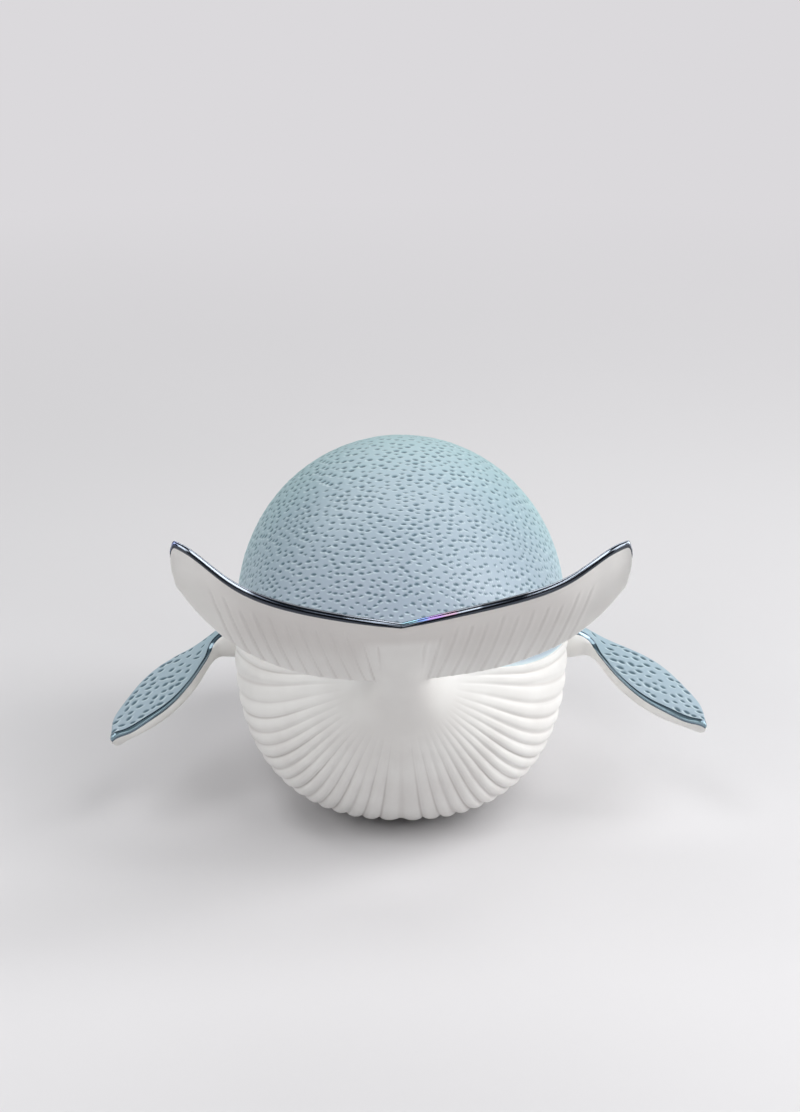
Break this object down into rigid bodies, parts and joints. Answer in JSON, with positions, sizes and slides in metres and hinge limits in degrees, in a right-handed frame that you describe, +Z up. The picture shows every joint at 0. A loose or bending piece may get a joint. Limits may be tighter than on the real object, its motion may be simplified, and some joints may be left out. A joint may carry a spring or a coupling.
{
  "type": "whale figurine",
  "caption": "Porcelain whale ornament with a ribbed white belly, dimpled blue back, raised tail fluke and swept side fins, resting on a flat foot.",
  "frame": {"origin": "middle of the flat foot, on the plane that the figurine rests on", "axes": "+Z up, -Y out of the nose, +Y towards the tail, +X to the whale's left"},
  "size_m": [0.2186, 0.2187, 0.1377],
  "materials": {
    "back_blue": "satin pale blue stain over dimpled porcelain",
    "belly_white": "matt white bisque porcelain",
    "fluke_white": "matt white bisque porcelain with a dark metallic lustre line on the rim",
    "fin_blue": "satin pale blue stain, white underside, dark lustre line on the edge",
    "eye_dark": "glossy dark glaze"
  },
  "bodies": {
    "root": {"back_shell": "back_blue", "belly_shell": "belly_white", "tail_fluke": "fluke_white", "pectoral_fin_left": "fin_blue", "pectoral_fin_right": "fin_blue", "eye_left": "eye_dark", "eye_right": "eye_dark"}
  },
  "joints": []
}
